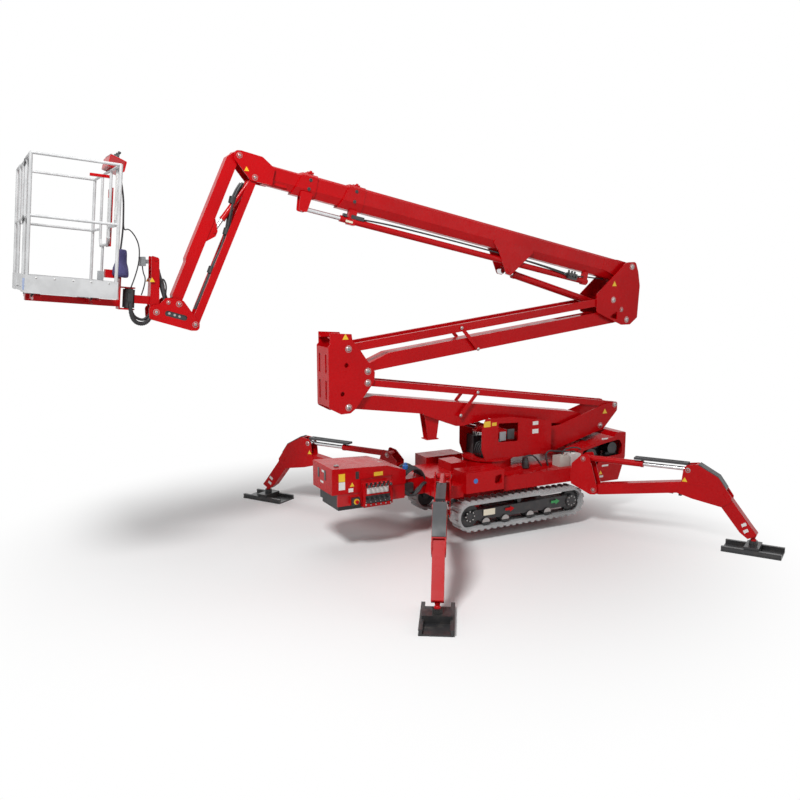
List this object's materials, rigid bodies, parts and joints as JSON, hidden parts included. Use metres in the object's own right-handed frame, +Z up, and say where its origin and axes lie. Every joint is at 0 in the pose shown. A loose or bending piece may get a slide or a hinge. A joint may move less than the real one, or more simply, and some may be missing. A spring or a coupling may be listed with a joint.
{
  "type": "spider_lift",
  "caption": "Tracked spider lift on folding outriggers, with stacked parallelogram arms, a telescopic boom, a short jib and a railed work basket.",
  "frame": {"origin": "middle of the footprint on the ground the pads stand on", "axes": "+X forward travel, away from the basket; +Y the side away from the camera; +Z up"},
  "size_m": [7.6484, 5.4294, 4.3854],
  "materials": {
    "red_paint": "gloss",
    "chrome": "polished",
    "track_rubber": "matte",
    "black_steel": "satin",
    "basket_aluminium": "satin",
    "white_plastic": "satin"
  },
  "bodies": {
    "chassis": {"chassis_frame": "red_paint", "side_boxes": "red_paint", "console_housing": "red_paint", "valve_bank": "black_steel", "engine_cover": "red_paint", "engine": "black_steel", "fluid_tanks": "white_plastic", "leg_brackets": "red_paint", "track_left": "track_rubber", "track_right": "track_rubber", "track_frame_left": "black_steel", "track_frame_right": "black_steel"},
    "turret": {"turret": "red_paint", "turret_valves": "black_steel"},
    "lift_barrel": {"lift_barrel": "red_paint"},
    "lift_rod": {"lift_rod": "chrome"},
    "lower_beam": {"lower_beam": "red_paint"},
    "lower_tie": {"lower_tie": "red_paint"},
    "lower_mid_links": {"lower_mid_links": "red_paint"},
    "link_plate": {"link_plate": "red_paint"},
    "upper_beam": {"upper_beam": "red_paint"},
    "upper_tie": {"upper_tie": "red_paint"},
    "upper_mid_links": {"upper_mid_links": "red_paint"},
    "head_plate": {"head_plate": "red_paint"},
    "boom_barrel": {"boom_barrel": "red_paint"},
    "boom_rod": {"boom_rod": "chrome"},
    "boom_outer": {"boom_outer": "red_paint"},
    "boom_mid": {"boom_mid": "red_paint", "extension_rod": "chrome"},
    "boom_inner": {"boom_inner": "red_paint"},
    "jib_beam": {"jib_beam": "red_paint"},
    "jib_tie": {"jib_tie": "red_paint"},
    "jib_barrel": {"jib_barrel": "red_paint"},
    "jib_rod": {"jib_rod": "chrome"},
    "jib_end": {"jib_end": "red_paint"},
    "level_barrel": {"level_barrel": "red_paint"},
    "level_rod": {"level_rod": "chrome"},
    "basket_post": {"basket_post": "red_paint", "rotator": "black_steel"},
    "basket": {"basket_frame": "basket_aluminium", "basket_support": "red_paint", "basket_console": "red_paint"},
    "gate": {"basket_gate": "basket_aluminium"},
    "leg_front_left": {"leg_beam_front_left": "red_paint", "leg_pad_front_left": "black_steel"},
    "leg_barrel_front_left": {"leg_barrel_front_left": "red_paint"},
    "leg_rod_front_left": {"leg_rod_front_left": "chrome"},
    "leg_front_right": {"leg_beam_front_right": "red_paint", "leg_pad_front_right": "black_steel"},
    "leg_barrel_front_right": {"leg_barrel_front_right": "red_paint"},
    "leg_rod_front_right": {"leg_rod_front_right": "chrome"},
    "leg_rear_left": {"leg_beam_rear_left": "red_paint", "leg_pad_rear_left": "black_steel"},
    "leg_barrel_rear_left": {"leg_barrel_rear_left": "red_paint"},
    "leg_rod_rear_left": {"leg_rod_rear_left": "chrome"},
    "leg_rear_right": {"leg_beam_rear_right": "red_paint", "leg_pad_rear_right": "black_steel"},
    "leg_barrel_rear_right": {"leg_barrel_rear_right": "red_paint"},
    "leg_rod_rear_right": {"leg_rod_rear_right": "chrome"}
  },
  "joints": [
    {"name": "turret_slew", "type": "hinge", "parent": "chassis", "child": "turret", "pos_m": [1.44035, 0, 0.878], "axis": [0, 0, 1], "range_deg": [-180, 180]},
    {"name": "lower_lift", "type": "hinge", "parent": "turret", "child": "lower_beam", "pos_m": [3.10235, 0, 1.136], "axis": [0, 1, 0], "range_deg": [-6, 55]},
    {"name": "lower_tie_turn", "type": "hinge", "parent": "turret", "child": "lower_tie", "pos_m": [3.34035, 0, 1.4], "axis": [0, 1, 0], "range_deg": [-7.22, 56.22]},
    {"name": "lower_mid_turn", "type": "hinge", "parent": "lower_beam", "child": "lower_mid_links", "pos_m": [0.94917, 0, 1.44673], "axis": [0, 1, 0], "range_deg": [-56.22, 7.22]},
    {"name": "link_plate_turn", "type": "hinge", "parent": "lower_beam", "child": "link_plate", "pos_m": [-0.52865, 0, 1.66], "axis": [0, 1, 0], "range_deg": [-56.22, 7.22]},
    {"name": "upper_lift", "type": "hinge", "parent": "link_plate", "child": "upper_beam", "pos_m": [-0.28865, 0, 2.055], "axis": [0, 1, 0], "range_deg": [-56.22, 7.22]},
    {"name": "upper_tie_turn", "type": "hinge", "parent": "link_plate", "child": "upper_tie", "pos_m": [-0.52465, 0, 2.317], "axis": [0, 1, 0], "range_deg": [-56.22, 7.22]},
    {"name": "upper_mid_turn", "type": "hinge", "parent": "upper_beam", "child": "upper_mid_links", "pos_m": [1.1862, 0, 2.23721], "axis": [0, 1, 0], "range_deg": [-7.22, 56.22]},
    {"name": "head_plate_turn", "type": "hinge", "parent": "upper_beam", "child": "head_plate", "pos_m": [3.48335, 0, 2.521], "axis": [0, 1, 0], "range_deg": [-7.22, 56.22]},
    {"name": "lift_barrel_turn", "type": "hinge", "parent": "turret", "child": "lift_barrel", "pos_m": [2.19335, 0, 0.979], "axis": [0, 1, 0], "range_deg": [-9.43, 73.43]},
    {"name": "lift_rod_slide", "type": "slide", "parent": "lift_barrel", "child": "lift_rod", "axis": [-0.9577, 0, 0.2879], "range_m": [-0.0919, 0.7153]},
    {"name": "boom_lift", "type": "hinge", "parent": "head_plate", "child": "boom_outer", "pos_m": [3.54335, 0, 3.207], "axis": [0, 1, 0], "range_deg": [-12, 58]},
    {"name": "boom_barrel_turn", "type": "hinge", "parent": "head_plate", "child": "boom_barrel", "pos_m": [3.39035, 0, 2.655], "axis": [0, 1, 0], "range_deg": [-12.08, 53.54]},
    {"name": "boom_rod_slide", "type": "slide", "parent": "boom_barrel", "child": "boom_rod", "axis": [-0.9599, 0, 0.2804], "range_m": [-0.1191, 0.528]},
    {"name": "boom_extend", "type": "slide", "parent": "boom_outer", "child": "boom_mid", "axis": [-0.9787, 0, 0.2054], "range_m": [0, 3]},
    {"name": "inner_extend", "type": "slide", "parent": "boom_mid", "child": "boom_inner", "axis": [-0.9787, 0, 0.2054], "range_m": [0, 3.001]},
    {"name": "jib_lift", "type": "hinge", "parent": "boom_inner", "child": "jib_beam", "pos_m": [-1.68268, 0, 4.33603], "axis": [0, 1, 0], "range_deg": [-20, 90]},
    {"name": "jib_tie_turn", "type": "hinge", "parent": "boom_inner", "child": "jib_tie", "pos_m": [-1.52568, 0, 4.12403], "axis": [0, 1, 0], "range_deg": [-22.2, 92.2]},
    {"name": "jib_end_turn", "type": "hinge", "parent": "jib_beam", "child": "jib_end", "pos_m": [-2.35268, 0, 2.84903], "axis": [0, 1, 0], "range_deg": [-92.2, 22.2]},
    {"name": "jib_barrel_turn", "type": "hinge", "parent": "boom_inner", "child": "jib_barrel", "pos_m": [-1.52568, 0, 4.12403], "axis": [0, 1, 0], "range_deg": [-20.48, 85.06]},
    {"name": "jib_rod_slide", "type": "slide", "parent": "jib_barrel", "child": "jib_rod", "axis": [-0.6107, 0, -0.7919], "range_m": [-0.0864, 0.359]},
    {"name": "basket_level", "type": "hinge", "parent": "jib_end", "child": "basket_post", "pos_m": [-2.58068, 0, 2.77303], "axis": [0, 1, 0], "range_deg": [-59.4, 13.4]},
    {"name": "level_barrel_turn", "type": "hinge", "parent": "jib_end", "child": "level_barrel", "pos_m": [-2.45768, 0, 2.86803], "axis": [0, 1, 0], "range_deg": [-59.78, 13.49]},
    {"name": "level_rod_slide", "type": "slide", "parent": "level_barrel", "child": "level_rod", "axis": [-0.2289, 0, 0.9734], "range_m": [-0.0339, 0.1503]},
    {"name": "basket_turn", "type": "hinge", "parent": "basket_post", "child": "basket", "pos_m": [-2.82313, 0, 2.91642], "axis": [0.0941, 0, 0.9956], "range_deg": [-90, 90]},
    {"name": "gate_swing", "type": "hinge", "parent": "basket", "child": "gate", "pos_m": [-3.80675, -0.3154, 3.0094], "axis": [-0.0941, 0, -0.9956], "range_deg": [0, 90]},
    {"name": "leg_fold_front_left", "type": "hinge", "parent": "chassis", "child": "leg_front_left", "pos_m": [2.54035, 0.774, 0.49], "axis": [0.8508, -0.5255, 0], "range_deg": [0, 75]},
    {"name": "leg_barrel_front_left_turn", "type": "hinge", "parent": "chassis", "child": "leg_barrel_front_left", "pos_m": [2.46678, 0.65489, 0.869], "axis": [0.8508, -0.5255, 0], "range_deg": [-1.62, 82.77]},
    {"name": "leg_rod_front_left_slide", "type": "slide", "parent": "leg_barrel_front_left", "child": "leg_rod_front_left", "axis": [0.5255, 0.8508, 0.0064], "range_m": [-0.4835, 0.0095]},
    {"name": "leg_fold_front_right", "type": "hinge", "parent": "chassis", "child": "leg_front_right", "pos_m": [2.54035, -0.774, 0.49], "axis": [-0.8508, -0.5255, 0], "range_deg": [0, 75]},
    {"name": "leg_barrel_front_right_turn", "type": "hinge", "parent": "chassis", "child": "leg_barrel_front_right", "pos_m": [2.46678, -0.65489, 0.869], "axis": [-0.8508, -0.5255, 0], "range_deg": [-1.62, 82.77]},
    {"name": "leg_rod_front_right_slide", "type": "slide", "parent": "leg_barrel_front_right", "child": "leg_rod_front_right", "axis": [0.5255, -0.8508, 0.0064], "range_m": [-0.4835, 0.0095]},
    {"name": "leg_fold_rear_left", "type": "hinge", "parent": "chassis", "child": "leg_rear_left", "pos_m": [0.34035, 0.774, 0.49], "axis": [0.8508, 0.5255, 0], "range_deg": [0, 75]},
    {"name": "leg_barrel_rear_left_turn", "type": "hinge", "parent": "chassis", "child": "leg_barrel_rear_left", "pos_m": [0.41392, 0.65489, 0.869], "axis": [0.8508, 0.5255, 0], "range_deg": [-1.62, 82.77]},
    {"name": "leg_rod_rear_left_slide", "type": "slide", "parent": "leg_barrel_rear_left", "child": "leg_rod_rear_left", "axis": [-0.5255, 0.8508, 0.0064], "range_m": [-0.4835, 0.0095]},
    {"name": "leg_fold_rear_right", "type": "hinge", "parent": "chassis", "child": "leg_rear_right", "pos_m": [0.34035, -0.774, 0.49], "axis": [-0.8508, 0.5255, 0], "range_deg": [0, 75]},
    {"name": "leg_barrel_rear_right_turn", "type": "hinge", "parent": "chassis", "child": "leg_barrel_rear_right", "pos_m": [0.41392, -0.65489, 0.869], "axis": [-0.8508, 0.5255, 0], "range_deg": [-1.62, 82.77]},
    {"name": "leg_rod_rear_right_slide", "type": "slide", "parent": "leg_barrel_rear_right", "child": "leg_rod_rear_right", "axis": [-0.5255, -0.8508, 0.0064], "range_m": [-0.4835, 0.0095]}
  ],
  "couplings": [
    {"joint": "lower_tie_turn", "follows": "lower_lift", "ratio": 1},
    {"joint": "lower_mid_turn", "follows": "lower_lift", "ratio": -1},
    {"joint": "link_plate_turn", "follows": "lower_lift", "ratio": -1},
    {"joint": "upper_lift", "follows": "lower_lift", "ratio": -1},
    {"joint": "upper_tie_turn", "follows": "lower_lift", "ratio": -1},
    {"joint": "upper_mid_turn", "follows": "lower_lift", "ratio": 1},
    {"joint": "head_plate_turn", "follows": "lower_lift", "ratio": 1},
    {"joint": "lift_barrel_turn", "follows": "lower_lift", "ratio": 1.3061},
    {"joint": "lift_rod_slide", "follows": "lower_lift", "m_per_rad": 0.729},
    {"joint": "boom_barrel_turn", "follows": "boom_lift", "ratio": 0.9014},
    {"joint": "boom_rod_slide", "follows": "boom_lift", "m_per_rad": 0.5093},
    {"joint": "inner_extend", "follows": "boom_extend", "ratio": 1},
    {"joint": "jib_tie_turn", "follows": "jib_lift", "ratio": 1},
    {"joint": "jib_end_turn", "follows": "jib_lift", "ratio": -1},
    {"joint": "jib_barrel_turn", "follows": "jib_lift", "ratio": 0.9226},
    {"joint": "jib_rod_slide", "follows": "jib_lift", "m_per_rad": 0.2231},
    {"joint": "basket_level", "follows": "boom_lift", "ratio": -1},
    {"joint": "level_barrel_turn", "follows": "boom_lift", "ratio": -1.0064},
    {"joint": "level_rod_slide", "follows": "boom_lift", "m_per_rad": 0.145},
    {"joint": "leg_barrel_front_left_turn", "follows": "leg_fold_front_left", "ratio": 1.082},
    {"joint": "leg_rod_front_left_slide", "follows": "leg_fold_front_left", "m_per_rad": -0.3621},
    {"joint": "leg_barrel_front_right_turn", "follows": "leg_fold_front_right", "ratio": 1.082},
    {"joint": "leg_rod_front_right_slide", "follows": "leg_fold_front_right", "m_per_rad": -0.3621},
    {"joint": "leg_barrel_rear_left_turn", "follows": "leg_fold_rear_left", "ratio": 1.082},
    {"joint": "leg_rod_rear_left_slide", "follows": "leg_fold_rear_left", "m_per_rad": -0.3621},
    {"joint": "leg_barrel_rear_right_turn", "follows": "leg_fold_rear_right", "ratio": 1.082},
    {"joint": "leg_rod_rear_right_slide", "follows": "leg_fold_rear_right", "m_per_rad": -0.3621}
  ]
}
